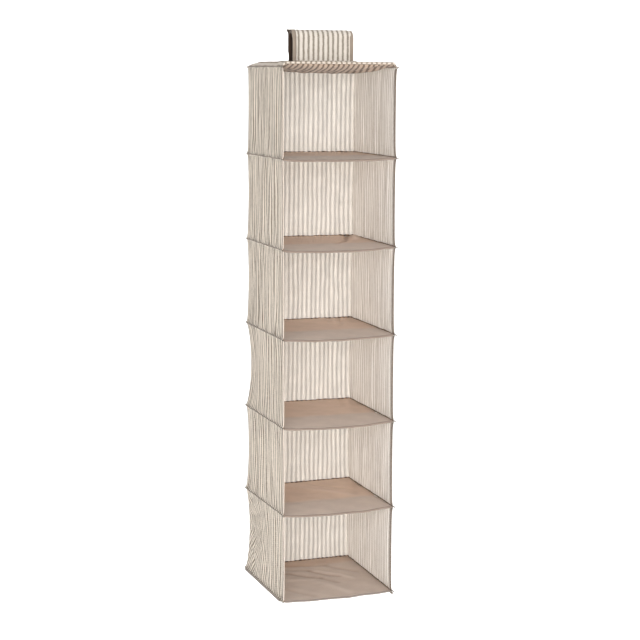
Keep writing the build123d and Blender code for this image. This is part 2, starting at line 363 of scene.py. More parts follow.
OUTSIDE = ticking("ticking_outside", (229, 220, 207), (106, 93, 78))
INSIDE_BACK = ticking("ticking_inside_back", (219, 217, 215), (192, 190, 187), 0.4)
INSIDE_RIGHT = ticking("ticking_inside_right", (229, 227, 226), (190, 184, 179), 1.0)
HEM = ticking("ticking_hem", (190, 178, 166), (84, 69, 56), through=0.15, wide=7.0 * MM)
# the seam ridge's cloth is painted much darker than the walls' cloth: painted shade in the pinched seam,
# while its dots are the real stripes
SHADED_RIDGE = ticking("ticking_ridge_shaded", (142, 131, 118), (66, 55, 45), through=0.0, wide=7.6 * MM)
# the inner seam band is painted nearly black: painted shade of the gap where each shelf meets the walls, over
# the gathered seam cloth
INNER_SEAM_SHADE = ticking("ticking_inner_seam", (138, 113, 94), (38, 27, 19), through=0.0, wide=7.4 * MM)
STRAP_CLOTH = ticking("ticking_strap", (205, 197, 187), (112, 101, 87), through=0.1)
COVER = ticking("ticking_cover", (184, 173, 160), (106, 92, 78), through=0.1)
# painted shade: the lining under the top, and the cover's underside, are much darker than the same cloth
# elsewhere, for the shade on the underside of the top
SHADED_LINING = ticking("ticking_lining_shaded", (160, 140, 123), (70, 51, 36), through=0.15)
# the rear colours are painted shade deep in each compartment, and the fold colour is painted shade under the
# front edge; on the bottom shelf the brown rear is the painted shadow of the shelf above
TAUPES = {level: shelf_cloth(level, (190, 163, 142), (178, 161, 148), (118, 104, 94), FRONT_PART)
          for level in range(1, LEVELS)}
TAUPES[LEVELS] = shelf_cloth(LEVELS, (170, 145, 126), (174, 157, 144), (116, 106, 99), 270 * MM)
TAPE = plain_cloth("taupe_tape", (141, 128, 115), weave=0.6 * MM, amount=0.1)
SKIRT = plain_cloth("skirt_tape", (103, 93, 83), weave=0.6 * MM, amount=0.12)
# painted shade: the strap's faces and tape lips toward the rod are dark brown for the shade inside the loop
# round the rod
STRAP_INNER_SHADE = plain_cloth("strap_inner_shade", (58, 41, 28), weave=1.0 * MM, amount=0.12)
THREAD = plain_cloth("thread", (150, 136, 120), weave=0.3 * MM, amount=0.15, depth=0.05 * MM)
FIBREBOARD = fibreboard("fibreboard")
HOOKS = fastening("hook_tape", (150, 132, 112), 0.8 * MM)
LOOPS = fastening("loop_tape", (176, 160, 140), 1.6 * MM)


# ---------------------------------------------------------------- meshes
def add_object(name, points, faces, uv, materials, face_materials=None):
    mesh = bpy.data.meshes.new(name)
    mesh.from_pydata(points.tolist(), [], faces)
    layer = mesh.uv_layers.new(name="cloth")
    loops = np.zeros(len(mesh.loops), np.int32)
    mesh.loops.foreach_get("vertex_index", loops)
    layer.data.foreach_set("uv", uv[loops].astype(np.float32).ravel())
    for material in materials:
        mesh.materials.append(material)
    if face_materials is not None:
        mesh.polygons.foreach_set("material_index", face_materials)
    # the flat ends of bands are the only faces with more than four corners
    mesh.polygons.foreach_set("use_smooth", [len(face) <= 4 for face in faces])
    work = bmesh.new()
    work.from_mesh(mesh)
    bmesh.ops.recalc_face_normals(work, faces=work.faces)
    work.to_mesh(mesh)
    work.free()
    piece = bpy.data.objects.new(name, mesh)
    bpy.context.scene.collection.objects.link(piece)
    return piece


def grid_faces(rows, columns, first=0):
    """Quads of a grid whose points go along each row in turn."""
    return [(first + r * columns + c, first + r * columns + c + 1,
             first + (r + 1) * columns + c + 1, first + (r + 1) * columns + c)
            for r in range(rows - 1) for c in range(columns - 1)]


def normals(points):
    """Unit normals of a grid of points: across the columns, turned from the rows."""
    down, along = np.gradient(points, axis=0), np.gradient(points, axis=1)
    across = np.cross(along, down)
    return across / np.maximum(np.linalg.norm(across, axis=2, keepdims=True), 1e-12)


def run_lengths(points):
    """Length along a line of points, from 0 at the first."""
    return np.concatenate([[0], np.cumsum(np.linalg.norm(np.diff(points, axis=0), axis=1))])


def cloth_sheet(name, points, uv, thickness, front, back):
    """A closed sheet of cloth round a grid of mid-surface points, one material on each face."""
    rows, columns, _ = points.shape
    out = normals(points) * thickness / 2
    both = np.concatenate([(points + out).reshape(-1, 3), (points - out).reshape(-1, 3)])
    count = rows * columns
    front_faces = grid_faces(rows, columns)
    back_faces = [tuple(i + count for i in reversed(face)) for face in front_faces]
    rim = ([r * columns for r in range(rows)]
           + [(rows - 1) * columns + c for c in range(1, columns)]
           + [r * columns + columns - 1 for r in range(rows - 2, -1, -1)]
           + [c for c in range(columns - 2, 0, -1)])
    rim_faces = [(a, b, b + count, a + count) for a, b in zip(rim, rim[1:] + rim[:1])]
    faces = front_faces + back_faces + rim_faces
    kinds = [0] * len(front_faces) + [1] * len(back_faces) + [0] * len(rim_faces)
    flat_uv = uv.reshape(-1, 2)
    return add_object(name, both, faces, np.concatenate([flat_uv, flat_uv]), (front, back), kinds)


def tube(centres, outward, upward, section, along):
    """A closed band: the section's (out, up) points carried along a line of centres."""
    count = len(section)
    points = (centres[:, None] + section[None, :, 0, None] * outward[:, None]
              + section[None, :, 1, None] * upward[:, None])
    round_it = run_lengths(section)
    uv = np.stack([np.repeat(along[:, None], count, 1), np.tile(round_it, (len(along), 1))], 2)
    faces = [(i * count + j, i * count + (j + 1) % count,
              (i + 1) * count + (j + 1) % count, (i + 1) * count + j)
             for i in range(len(centres) - 1) for j in range(count)]
    faces += [tuple(range(count - 1, -1, -1)),
              tuple((len(centres) - 1) * count + j for j in range(count))]
    return points.reshape(-1, 3), faces, uv.reshape(-1, 2)


def hung(points, level=None):
    """Points where they hang: turned about the vertical by level, and with the low shelves tilted."""
    if level is None:
        level = np.clip((SEAM_Z[0] - points[..., 2]) / (SEAM_Z[0] - SEAM_Z[1]), 0, LEVELS)
    level = np.broadcast_to(level, points.shape[:-1])
    angle = TWIST * (level - LEVELS / 2)
    cos, sin = np.cos(angle), np.sin(angle)
    x, y = points[..., 0], points[..., 1]
    right, rear = (x / HALF_W + 1) / 2, (y / HALF_D + 1) / 2
    drop = np.zeros(points.shape[:-1])
    for tilted, corners in SETTLING.items():
        near = np.clip(1 - np.abs(level - tilted), 0, 1)
        rear_left, front_left, front_right, rear_right = corners
        drop += near * MM * ((1 - right) * (rear * rear_left + (1 - rear) * front_left)
                             + right * (rear * rear_right + (1 - rear) * front_right))
    return np.stack([x * cos - y * sin, x * sin + y * cos, points[..., 2] - drop], axis=-1)


def soft_noise(a, b, seed, size_a, size_b, waves=16):
    """Smooth random height from about -1 to 1, with bumps of the two sizes."""
    draw = np.random.default_rng(seed)
    total = np.zeros(np.broadcast(a, b).shape)
    for _ in range(waves):
        stretch_a, stretch_b = draw.uniform(0.5, 1.6, 2)
        start = draw.uniform(0, 2 * math.pi)
        slope = draw.choice([-1, 1])
        total += np.cos(2 * math.pi * (a / (size_a * stretch_a) + slope * b / (size_b * stretch_b))
                        + start)
    return total / math.sqrt(waves)


def crease(a, b, start, end, width):
    """1 along the line from start to end, falling off to 0 over width."""
    start, end = np.array(start), np.array(end)
    run = end - start
    share = np.clip(((a - start[0]) * run[0] + (b - start[1]) * run[1]) / (run @ run), 0, 1)
    off = np.hypot(a - start[0] - share * run[0], b - start[1] - share * run[1])
    return np.exp(-(off / width) ** 2) * np.sin(math.pi * np.clip(share, 0.04, 0.96)) ** 0.5


def stitch_row(path, up):
    """Thread along a path: small rounded stitches with gaps, half sunk in the cloth. Points and faces."""
    path, up = np.asarray(path, float), np.asarray(up, float)
    length = run_lengths(path)
    middles = np.arange(STITCH_PITCH / 2, length[-1] - STITCH_PITCH / 3, STITCH_PITCH)
    rings, sides = 6, 6
    tau = np.linspace(-1, 1, rings)
    at = middles[:, None] + tau * STITCH_LENGTH / 2
    centre = np.dstack([np.interp(at, length, path[:, i]) for i in range(3)])
    rise = np.dstack([np.interp(at, length, up[:, i]) for i in range(3)])
    rise /= np.linalg.norm(rise, axis=2, keepdims=True)
    way = centre[:, -1:] - centre[:, :1]
    way /= np.linalg.norm(way, axis=2, keepdims=True)
    side = np.cross(np.broadcast_to(way, rise.shape), rise)
    radius = THREAD_RADIUS * np.sqrt(1 - 0.9 * tau ** 2)
    turn_round = np.linspace(0, 2 * math.pi, sides, endpoint=False)
    bulge = (radius[:, None] * np.cos(turn_round) + 0.1 * MM)[None, :, :, None] * rise[:, :, None]
    spread = (radius[:, None] * np.sin(turn_round))[None, :, :, None] * side[:, :, None]
    points = (centre[:, :, None] + bulge + spread).reshape(-1, 3)
    faces = []
    for stitch in range(len(middles)):
        first = stitch * rings * sides
        last = first + (rings - 1) * sides
        for ring in range(first, last, sides):
            faces += [(ring + j, ring + (j + 1) % sides, ring + sides + (j + 1) % sides, ring + sides + j)
                      for j in range(sides)]
        faces += [tuple(first + j for j in reversed(range(sides))), tuple(last + j for j in range(sides))]
    return points, faces


def stitching(name, rows):
    """One object of several stitch rows, each given as its path and the way up from the cloth."""
    points, faces = [], []
    for path, up in rows:
        made, made_faces = stitch_row(path, up)
        first = sum(len(p) for p in points)
        faces += [tuple(first + i for i in face) for face in made_faces]
        points.append(made)
    points = np.concatenate(points)
    uv = np.column_stack([points[:, 0] + points[:, 1], points[:, 2]])
    piece = add_object(name, points, faces, uv, (THREAD,))
    return piece


def body(level):
    return "top" if level == 0 else f"shelf_{level}"


# ---------------------------------------------------------------- walls
SIDE_COLUMNS, BACK_COLUMNS = 56, 52
FLARE = 1.9 * MM              # how far the cloth turns out into a seam
MID_W, MID_D = HALF_W - CLOTH / 2, HALF_D - CLOTH / 2
INNER_W, INNER_D = HALF_W - CLOTH - 0.2 * MM, HALF_D - CLOTH - 0.2 * MM


def path_round():
    """The walls' plan from the left front edge round to the right one: place, outward, length."""
    y = np.linspace(-HALF_D, MID_D, SIDE_COLUMNS + 1)
    x = np.linspace(-MID_W, MID_W, BACK_COLUMNS + 1)
    left = np.stack([np.full_like(y, -MID_W), y], 1)
    back = np.stack([x, np.full_like(x, MID_D)], 1)[1:-1]
    right = left[::-1] * (-1, 1)
    place = np.concatenate([left, back, right])
    outward = np.concatenate([np.tile((-1.0, 0.0), (len(left), 1)),
                              np.tile((0.0, 1.0), (len(back), 1)),
                              np.tile((1.0, 0.0), (len(right), 1))])
    along = run_lengths(place)
    return place, outward, along


PLAN, OUTWARD, ALONG = path_round()
REAR_LEFT, REAR_RIGHT = SIDE_COLUMNS, SIDE_COLUMNS + BACK_COLUMNS
# inward pull of the rear left, front left, front right and rear right corner lines at mid-height, in mm
PULLS = {1: (1, 0, 1, 1), 2: (2, 0, 1, 2), 3: (3, 1, 1, 3), 4: (10, 1, 1, 4), 5: (5, 1, 1, 4),
         6: (8, 1, 1, 3)}
CORNER_PINCH = (2.0, 0.8, 3.2, 2.0)     # and what each leaves at once below the seam, in mm


def drop_shares(height):
    """Rows down a wall, as shares of its height, closer together beside the seams."""
    near = np.array([0, 1.5, 3.5, 7, 12]) * MM / height
    middle = np.linspace(near[-1], 1 - near[-1], 34)[1:-1]
    return np.concatenate([near, middle, 1 - near[::-1]])


# creases: places are mm back from a corner of the plan and mm down; depth outward in mm
LEFT_PUCKERS = (((10, 60), (120, 10), 4.0), ((10, 78), (135, 45), -3.5), ((12, 90), (150, 80), 3.5),
                ((10, 118), (140, 150), -4.0), ((12, 104), (160, 112), -2.5), ((10, 135), (110, 185), 3.5),
                ((10, 150), (80, 215), -3.0), ((10, 45), (60, 8), -3.0))
# how far the left wall's stripes are drawn forward at the rear, over what length (mm), how far down
DRAWN_IN = {4: (14, 60, 0.5), 6: (62, 150, 0.47)}
BACK_CREASES = {1: (((60, 10), (10, 120), 3.0), ((90, 60), (20, 200), -2.5)),
                2: (((80, 5), (15, 90), -3.0), ((70, 60), (5, 170), 3.0)),
                3: (((110, 40), (20, 140), 3.0), ((90, 90), (10, 210), -3.0))}


def wall_points(k):
    """Mid-surface of one compartment's cloth, rows down by columns round."""
    high, low = SEAM_Z[k - 1], SEAM_Z[k]
    share = drop_shares(high - low)
    t, s = np.meshgrid(share, ALONG, indexing="ij")
    z = high + (low - high) * t
    points = np.dstack([np.broadcast_to(PLAN[:, 0], t.shape), np.broadcast_to(PLAN[:, 1], t.shape), z])
    from_seam = np.minimum(t, 1 - t) * (high - low)
    swell = np.sin(math.pi * t)
    # folds hang down the cloth, fade at the seams and at the sewn corners
    corner_gap = np.min([np.abs(s - ALONG[i]) for i in (0, REAR_LEFT, REAR_RIGHT, len(ALONG) - 1)], axis=0)
    held = np.clip(from_seam / (30 * MM), 0, 1) ** 0.7 * np.clip(corner_gap / (35 * MM), 0, 1) ** 0.8
    folds = 1.7 * MM * soft_noise(s, t * (high - low), 40 + k, 62 * MM, 900 * MM)
    folds += 0.9 * MM * soft_noise(s, t * (high - low), 60 + k, 24 * MM, 420 * MM)
    gathers = 0.7 * MM * soft_noise(s, z, 80 + k, 15 * MM, 300 * MM) * np.exp(-from_seam / (22 * MM))
    # the right wall hangs flattest
    calm = np.interp(s, [ALONG[REAR_LEFT], ALONG[REAR_LEFT + 3], ALONG[REAR_RIGHT - 3], ALONG[REAR_RIGHT]],
                     [0.8, 0.6, 0.6, 0.45])
    out = folds * calm * held + gathers * np.clip(corner_gap / (12 * MM), 0, 1) - 1.5 * MM * swell * held
    if k == LEVELS:
        for start, end, depth in LEFT_PUCKERS:
            line = [(ALONG[REAR_LEFT] - back * MM, down * MM) for back, down in (start, end)]
            near_seam = np.clip(from_seam / (12 * MM), 0, 1)
            out += depth * MM * crease(s, t * (high - low), *line, 7 * MM) * near_seam
    if k <= 3:
        for start, end, depth in BACK_CREASES[k]:
            line = [(ALONG[REAR_RIGHT] - back * MM, down * MM) for back, down in (start, end)]
            out += depth * MM * crease(s, t * (high - low), *line, 8 * MM)
    flare = FLARE * np.exp(-(from_seam / (2.2 * MM)) ** 2)
    points[..., 0] += OUTWARD[:, 0] * (out + flare)
    points[..., 1] += OUTWARD[:, 1] * (out + flare)
    pinched = 1 - np.exp(-from_seam / (8 * MM))
    corners = ((REAR_LEFT, (1, -1)), (0, (1, 0)), (len(ALONG) - 1, (-1, 0)), (REAR_RIGHT, (-1, -1)))
    for (column, way), pull, pinch in zip(corners, PULLS[k], CORNER_PINCH):
        reach = np.exp(-((s - ALONG[column]) / (90 * MM)) ** 2)
        near = reach * (swell ** 0.8 * pull + pinched * pinch) * MM
        points[..., 0] += way[0] * near
        points[..., 1] += way[1] * near * 0.6
    return hung(points), t * (high - low)


WALLS = (("left_wall", 0, REAR_LEFT), ("back_wall", REAR_LEFT, REAR_RIGHT),
         ("right_wall", REAR_RIGHT, len(ALONG) - 1))
# where each wall's cloth starts in the pattern, so that the left edge folds at cream and the right at dark
PATTERN_START = {"left_wall": -0.50 * STRIPE_PITCH, "back_wall": 0.2 * STRIPE_PITCH, "right_wall": 0.0}


def fold_with(piece):
    """Gives the piece a mesh of its own."""
    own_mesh(piece)


def wall_sheets(k):
    points, drop = wall_points(k)
    for node, first, last in WALLS:
        part = points[:, first:last + 1]
        start = PATTERN_START[node]
        if node == "right_wall":
            across = ALONG[first:last + 1] - ALONG[last] + start
        else:
            across = ALONG[first:last + 1] - ALONG[first] + start
        down = drop[:, first:last + 1]
        free = np.clip(np.minimum(across - across[0], across[-1] - across) / (30 * MM), 0, 1)
        sway = soft_noise(across, down, 140 + 7 * k + first, 110 * MM, 170 * MM) * free * MM
        sway *= 0.7 if node == "back_wall" else 1.2
        if node == "left_wall" and k in DRAWN_IN:
            # the cloth is drawn forward half way down the rear corner, and its stripes with it
            depth, reach, middle = DRAWN_IN[k]
            tent = 1 - np.sqrt(((down / (SEAM_Z[k - 1] - SEAM_Z[k]) - middle) * 2) ** 2 + 0.01)
            near = np.exp(-((across[-1] - across) / (reach * MM)) ** 2)
            sway += depth * MM * np.clip(tent, 0, 1) * near
        uv = np.dstack([across + sway, down])
        inside = INSIDE_BACK if node == "back_wall" else INSIDE_RIGHT
        piece = cloth_sheet(f"{node}_cloth_{k}", part, uv, CLOTH, OUTSIDE, inside)
        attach(piece, body(k - 1))
        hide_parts(f"{node}_{k}")
        fold_with(piece)
    return points


# ---------------------------------------------------------------- hems on the walls' front edges
HEM_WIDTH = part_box("front_edge_binding_1")[1].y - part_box("front_edge_binding_1")[0].y
HEM_SKIN = 0.6 * MM
HEM_NOSE = 4                  # the foremost of the section's points


def hem_section():
    """Half-round nose in front and two flat lips behind, as (forward, sideways) points."""
    half = CLOTH / 2 + HEM_SKIN
    nose = [(half * math.cos(a), half * math.sin(a)) for a in np.linspace(-math.pi / 2, math.pi / 2, 9)]
    back = HEM_WIDTH - half
    outer = [(-back, half), (-back, half * 0.35)]
    inner = [(-back, -half * 0.35), (-back, -half)]
    return np.array(nose + outer + inner)


def front_hem(k, points):
    section = hem_section()
    all_points, all_faces, all_uv = [], [], []
    for column, inner_column, side in ((0, 1, -1), (-1, -2, 1)):
        line = points[2:-2, column]
        forward = line - points[2:-2, inner_column]
        forward /= np.linalg.norm(forward, axis=1, keepdims=True)
        sideways = np.cross(forward, (0, 0, 1.0)) * -side
        drop = SEAM_Z[k - 1] - line[:, 2]
        made, faces, uv = tube(line, forward, sideways, section, drop)
        # round the fold the pattern runs across; along the edge it runs down
        uv = uv[:, ::-1].copy()
        middle = uv[HEM_NOSE, 0]
        uv[:, 0] += -middle + (STRIPE_PITCH / 2 if side < 0 else 0)
        first = sum(len(p) for p in all_points)
        all_faces += [tuple(first + i for i in f) for f in faces]
        all_points.append(made)
        all_uv.append(uv)
    piece = add_object(f"front_edge_hem_{k}", np.concatenate(all_points), all_faces,
                       np.concatenate(all_uv), (HEM,))
    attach(piece, body(k - 1))
    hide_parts(f"front_edge_binding_{k}")
    fold_with(piece)
    rows = []
    for column, side in ((1, -1), (-2, 1)):
        for face in (-1, 1):
            way = np.tile((float(side * face), 0.0, 0.0), (len(points) - 6, 1))
            rows.append((points[3:-3, column] + way * CLOTH / 2, way))
    piece = stitching(f"front_edge_stitching_{k}", rows)
    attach(piece, body(k - 1))
    fold_with(piece)


# ---------------------------------------------------------------- seams
SEAM_STEPS = 72               # points along each of a seam's three sides


def round_three_sides(half_w, half_d, tail=0.0):
    """A line round left, back and right from front to front: places, outward ways and length along."""
    front = -HALF_D - tail
    corners = [(-half_w, front), (-half_w, half_d), (half_w, half_d), (half_w, front)]
    line, ways = [], []
    for start, end, way in zip(corners, corners[1:], ((-1, 0), (0, 1), (1, 0))):
        line.append(np.linspace(start, end, SEAM_STEPS + 1)[:-1])
        ways += [way] * SEAM_STEPS
    line = np.concatenate(line + [[corners[-1]]])
    ways = np.array(ways + [(1, 0)], float)
    along = run_lengths(line)
    # the pattern starts at the rear left corner
    return line, np.column_stack([ways, np.zeros(len(ways))]), along - along[SEAM_STEPS]


def oval(half_wide, half_high, centre_up=0.0, sides=10):
    turn_round = np.linspace(0, 2 * math.pi, sides, endpoint=False)
    return np.column_stack([half_wide * np.cos(turn_round),
                            half_high * np.sin(turn_round) + centre_up])


def seam_band(name, k, way_round, section, material, side=1, rough=0.14, sway=0.0, taper=False):
    """A band of cloth round three sides of seam k; past the front corners it narrows and turns out."""
    line, out, along = way_round
    tail = -HALF_D - line[0, 1]
    wave = soft_noise(along, 0 * along, 20 + k + 7 * len(section), 60 * MM, 1.0)
    wide = 1 + rough * soft_noise(along, 0 * along, 30 + k, 14 * MM, 1.0)
    past_corner = np.clip((-HALF_D - line[:, 1]) / max(tail, 1 * MM), 0, 1)
    narrow = wide * (1 - 0.45 * past_corner)
    up = np.column_stack([0 * along, 0 * along, narrow])
    if taper:
        # the band tapers away before it reaches the front left corner
        up *= np.clip((line[:, 1] + HALF_D) / (34 * MM), 0.3, 1)[:, None] ** (line[:, :1] < 0)
    centres = np.column_stack([line, SEAM_Z[k] + 0.45 * MM * wave - 2.0 * MM * past_corner ** 2])
    centres[:, :2] += out[:, :2] * (1.6 * MM * past_corner + sway * wave)[:, None]
    points, faces, uv = tube(centres, out * narrow[:, None] * side, up, section,
                             along + 0.2 * STRIPE_PITCH)
    piece = add_object(name, hung(points, k), faces, uv, (material,))
    return piece


def seam_tape(k):
    """A seam: the pinched ridge outside and the gathered cloth inside, both painted dark as shade in the
    seam, and the skirt under the last one.
    """
    tail = (7 if k < LEVELS else 10) * MM
    ridge = round_three_sides(HALF_W + 1.5 * MM, HALF_D + 1.5 * MM, tail)
    piece = seam_band(f"seam_tape_{k}", k, ridge, oval(2.0 * MM, 1.2 * MM), SHADED_RIDGE)
    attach(piece, body(k))
    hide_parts(f"seam_binding_{k}")
    if k > 0:
        # painted shade: a dark band round the inside of the seam
        inner = round_three_sides(INNER_W - 0.7 * MM, INNER_D - 0.7 * MM)
        section = oval(1.1 * MM, 1.8 * MM, 2.0 * MM, 8)
        piece = seam_band(f"inner_seam_{k}", k, inner, section, INNER_SEAM_SHADE, side=-1)
        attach(piece, body(k - 1))
        fold_with(piece)
    if k == LEVELS:
        skirt = round_three_sides(HALF_W + 0.6 * MM, HALF_D + 0.6 * MM, 1.5 * MM)
        section = oval(1.0 * MM, SKIRT_HIGH / 2, -1.0 * MM - SKIRT_HIGH / 2, 12)
        piece = seam_band("skirt_tape", k, skirt, section, SKIRT, rough=0.0, sway=0.5 * MM, taper=True)
        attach(piece, body(k))
        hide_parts(f"seam_binding_{k}")


# ---------------------------------------------------------------- shelves
SHELF_COLUMNS, SHELF_ROWS = 58, 60
CREASE_Y = -HALF_D + FRONT_PART
FRONT_SAG = {1: 5.5, 2: 8.0, 3: 7.5, 4: 9.0, 5: 9.0, 6: 5.0}


def shelf_drop(k, x, y):
    """How far a shelf hangs below its seam at each place."""
    ahead = np.clip((CREASE_Y - y) / (CREASE_Y + HALF_D), 0, 1)
    across = np.clip(1 - np.abs((x + 12 * MM) / (HALF_W + 12 * MM)) ** 2.4, 0, 1)
    drop = FRONT_SAG[k] * MM * across * (0.25 * ahead + 0.75 * ahead ** 1.7)
    behind = np.clip((y - CREASE_Y) / (HALF_D - CREASE_Y), 0, 1)
    drop += 2.0 * MM * np.sin(math.pi * behind) * (1 - (x / HALF_W) ** 2)
    edge = np.clip(np.minimum(HALF_W - np.abs(x), HALF_D - y) / (25 * MM), 0, 1)
    drop += 0.5 * MM * soft_noise(x, y, 100 + k, 120 * MM, 150 * MM) * edge
    drop += 1.2 * MM * crease(x, y, (-HALF_W, CREASE_Y), (HALF_W, CREASE_Y), 7 * MM)
    for start, end, depth, width in SHELF_CREASES[k]:
        drop += depth * MM * crease(x, y, np.array(start) * MM, np.array(end) * MM, width * MM)
    return drop


def pulled_in(k, x, y):
    """The right edge leaves the wall a little where the shelf's crease meets it."""
    gap = {3: 3.0, 4: 6.5, 5: 6.5}.get(k, 1.5) * MM
    near = np.exp(-((y - CREASE_Y - 4 * MM) / (16 * MM)) ** 2)
    return x - gap * near * np.clip(x / HALF_W, 0, 1) ** 8


def shelf_sleeve(k):
    """One cloth folded round the front of the board: the lower sheet, the fold, the upper sheet."""
    x_line = np.linspace(-INNER_W, INNER_W, SHELF_COLUMNS + 1)
    half = SHELF_HALF - 0.5 * MM
    depths = np.linspace(0, 1, SHELF_ROWS + 1) ** 0.9
    y_run = -HALF_D + half + (INNER_D + HALF_D - half) * depths
    fold_angles = np.linspace(-math.pi / 2, math.pi / 2, 9)[1:-1]
    y_fold = -HALF_D + half - half * np.cos(fold_angles)
    y_line = np.concatenate([y_run[::-1], y_fold, y_run])
    rise = np.concatenate([-np.ones(len(y_run)), np.sin(fold_angles), np.ones(len(y_run))])
    rise_grid, x = np.meshgrid(rise, x_line, indexing="ij")
    y = np.broadcast_to(y_line[:, None], x.shape)
    # the two sheets come together where they are sewn in with the walls
    edge = np.minimum(INNER_W - np.abs(x), INNER_D - y)
    open_share = np.clip(edge / (7 * MM), 0.12, 1) ** 0.6
    drop = shelf_drop(k, x, y)
    z = SEAM_Z[k] + rise_grid * half * open_share - drop
    x = pulled_in(k, x, y)
    points = hung(np.dstack([x, y, z]), k)
    # v is the distance back from the fold, negative under the board
    along = np.where(rise < 0, -1, 1) * (y_line + HALF_D)
    uv = np.dstack([x, np.broadcast_to(along[:, None], x.shape)])
    piece = cloth_sheet(f"shelf_cloth_{k}", points, uv, 1.0 * MM, TAUPES[k], TAUPES[k])
    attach(piece, body(k))
    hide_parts(f"shelf_sleeve_{k}")
    rows = []
    for face in (-1, 1):
        row = np.argmin(np.abs(along - face * 9 * MM))
        way = np.tile((0.0, 0.0, float(face)), (points.shape[1] - 2, 1))
        rows.append((points[row, 1:-1] + way * 0.5 * MM, way))
    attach(stitching(f"shelf_stitching_{k}", rows), body(k))


def slab(name, x, y, z_mid, thickness, level, material):
    """A closed board that follows a grid of heights."""
    points = hung(np.dstack([x, y, z_mid]), level)
    uv = np.dstack([x, y])
    return cloth_sheet(name, points, uv, thickness, material, material)


def shelf_board(k):
    margin = 7 * MM
    x, y = np.meshgrid(np.linspace(-INNER_W + margin, INNER_W - margin, 40),
                       np.linspace(-HALF_D + 3 * MM, INNER_D - margin, 44))
    drop = shelf_drop(k, x, y)
    piece = slab(f"shelf_board_in_{k}", x, y, SEAM_Z[k] - drop, BOARD * 0.8, k, FIBREBOARD)
    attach(piece, body(k))
    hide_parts(f"shelf_board_{k}")


for k in range(1, LEVELS + 1):
    wall_grid = wall_sheets(k)
    front_hem(k, wall_grid)
    shelf_sleeve(k)
    shelf_board(k)
for k in range(LEVELS + 1):
    seam_tape(k)

# ---------------------------------------------------------------- top: cover, board and lining
HEM_BOTTOM = TOP_Z - 6.0 * MM
FRONT = -HALF_D
TOP_SLOPE, REAR_SLOPE = 9 * MM, 30 * MM


def plateau(x, y):
    """1 on the board, falling to 0 at the seam on the left, right and back."""
    side = np.clip((MID_W - np.abs(x)) / TOP_SLOPE, 0, 1)
    rear = np.clip((MID_D - y) / REAR_SLOPE, 0, 1)
    corner = np.clip(np.hypot(MID_W - np.abs(x), MID_D - y) / (92 * MM), 0, 1) ** 0.8
    return np.minimum(np.minimum(side, rear), np.where(x < 0, corner, 1)) ** 0.85


def top_cloth():
    """The cover: a rolled hem in front, over the board, and down to the seam at the other sides."""
    half = CLOTH / 2
    x = np.concatenate([np.linspace(-MID_W, -MID_W + TOP_SLOPE, 8)[:-1],
                        np.linspace(-MID_W + TOP_SLOPE, MID_W - TOP_SLOPE, 96),
                        np.linspace(MID_W - TOP_SLOPE, MID_W, 8)[1:]])
    roll_deep, roll_high = 2.4 * MM, (TOP_Z - HEM_BOTTOM) / 2 - half
    turn_round = np.radians(np.linspace(-110, 90, 15))
    y_roll = FRONT + half + roll_deep * (1 - np.cos(turn_round))
    rise_roll = (np.sin(turn_round) - 1) * roll_high
    y_flat = np.linspace(FRONT + half + roll_deep, MID_D, 64)[1:]
    y_line = np.concatenate([y_roll, y_flat])
    rise = np.concatenate([rise_roll, np.zeros(len(y_flat))])
    y, xs = np.meshgrid(y_line, x, indexing="ij")
    seam = SEAM_Z[0] + half
    high = TOP_Z - half
    share = plateau(xs, y)
    z = seam + (high - seam) * share + rise[:, None] * np.clip(share * 1.6, 0.35, 1)
    left_fold = crease(xs, y, (-HALF_W + 5 * MM, FRONT + 4 * MM), (-HALF_W + 7 * MM, FRONT + 60 * MM), 5 * MM)
    z += 1.6 * MM * left_fold - 1.2 * MM * crease(xs, y, (-HALF_W + 3 * MM, FRONT + 60 * MM),
                                                 (-HALF_W + 10 * MM, FRONT + 130 * MM), 7 * MM)
    loose = np.clip(1 - share, 0, 1) * np.clip(share * 4, 0, 1)
    z += 1.2 * MM * soft_noise(xs, y, 7, 30 * MM, 45 * MM) * loose
    across = np.concatenate([[0], np.cumsum(np.hypot(np.diff(x), np.diff(z[30])))])
    along = np.concatenate([[0], np.cumsum(np.hypot(np.diff(y_line), np.diff(rise)))])
    uv = np.dstack([np.broadcast_to(across, z.shape), np.broadcast_to(along[:, None], z.shape)])
    piece = cloth_sheet("top_cloth", hung(np.dstack([xs, y, z]), 0), uv, CLOTH, COVER, SHADED_LINING)
    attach(piece, "top")
    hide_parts("top_cover")
    row = np.argmin(np.abs(y_line - FRONT - 9 * MM))
    path = hung(np.dstack([xs, y, z]), 0)[row, 9:-9]
    up = np.tile((0.0, 0.0, 1.0), (len(path), 1))
    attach(stitching("top_hem_stitching", [(path + up * CLOTH / 2, up)]), "top")


def top_board():
    low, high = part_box("top_board")
    x, y = np.meshgrid(np.linspace(low.x + 2 * MM, high.x - 2 * MM, 30),
                       np.linspace(low.y + 2 * MM, high.y - 6 * MM, 30))
    thickness = high.z - low.z
    under_cover = SEAM_Z[0] + CLOTH / 2 + (TOP_Z - CLOTH / 2 - SEAM_Z[0]) * plateau(x, y)
    under_cover -= CLOTH + thickness / 2 + 0.3 * MM
    middle = np.minimum((low.z + high.z) / 2, np.maximum(under_cover, SEAM_Z[0] + 3 * MM))
    piece = slab("top_board_in", x, y, middle, thickness, 0, FIBREBOARD)
    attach(piece, "top")
    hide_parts("top_board")


